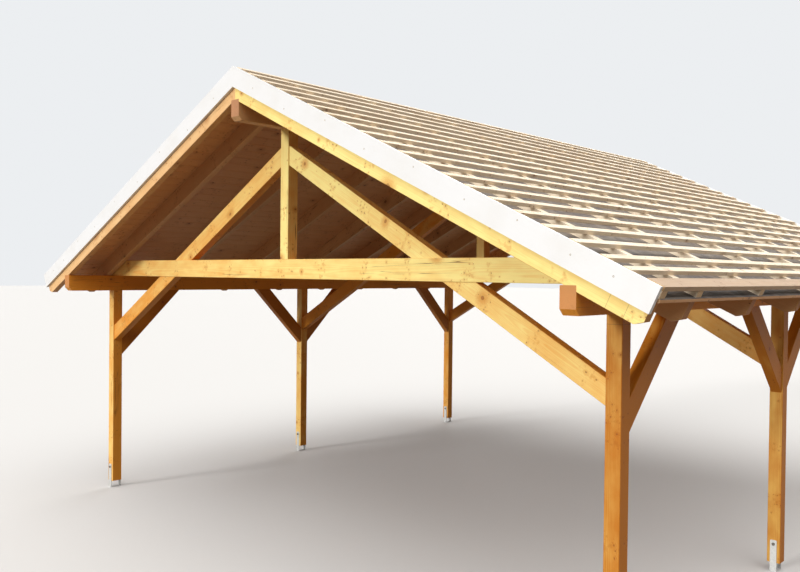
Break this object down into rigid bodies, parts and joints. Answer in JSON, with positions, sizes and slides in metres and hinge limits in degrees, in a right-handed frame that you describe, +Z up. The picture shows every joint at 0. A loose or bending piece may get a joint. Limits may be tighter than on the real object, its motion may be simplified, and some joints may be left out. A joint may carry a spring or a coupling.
{
  "type": "carport",
  "caption": "Open timber-framed carport on posts with a battened pitched roof, trusses with crossed diagonals and white barge boards.",
  "frame": {"origin": "middle of the plan, at the feet of the post shoes on the level ground", "axes": "+Z up, +X to the right seen from the front gable, +Y from the front to the rear gable"},
  "size_m": [7.0566, 6.685, 3.9322],
  "materials": {
    "frame_timber": "satin",
    "rafter_timber": "satin",
    "sheathing": "matte",
    "batten_timber": "matte",
    "barge_board_paint": "satin",
    "underlay": "matte",
    "galvanised_steel": "satin"
  },
  "bodies": {
    "root": {"post_front_left": "frame_timber", "diagonal_front_left": "frame_timber", "post_middle_left": "frame_timber", "diagonal_middle_left": "frame_timber", "post_rear_left": "frame_timber", "diagonal_rear_left": "frame_timber", "post_shoes_left": "galvanised_steel", "eave_purlin_left": "frame_timber", "knee_braces_left": "frame_timber", "verge_rafter_front_left": "rafter_timber", "verge_rafter_rear_left": "rafter_timber", "rafters_left": "rafter_timber", "sheathing_left": "sheathing", "underlay_left": "underlay", "counter_battens_left": "batten_timber", "battens_left": "batten_timber", "eaves_board_left": "batten_timber", "barge_board_front_left": "barge_board_paint", "barge_board_rear_left": "barge_board_paint", "post_front_right": "frame_timber", "diagonal_front_right": "frame_timber", "post_middle_right": "frame_timber", "diagonal_middle_right": "frame_timber", "post_rear_right": "frame_timber", "diagonal_rear_right": "frame_timber", "post_shoes_right": "galvanised_steel", "eave_purlin_right": "frame_timber", "knee_braces_right": "frame_timber", "verge_rafter_front_right": "rafter_timber", "verge_rafter_rear_right": "rafter_timber", "rafters_right": "rafter_timber", "sheathing_right": "sheathing", "underlay_right": "underlay", "counter_battens_right": "batten_timber", "battens_right": "batten_timber", "eaves_board_right": "batten_timber", "barge_board_front_right": "barge_board_paint", "barge_board_rear_right": "barge_board_paint", "tie_beam_front": "frame_timber", "king_post_front": "frame_timber", "tie_beam_middle": "frame_timber", "king_post_middle": "frame_timber", "tie_beam_rear": "frame_timber", "king_post_rear": "frame_timber", "ridge_purlin": "frame_timber"}
  },
  "joints": []
}
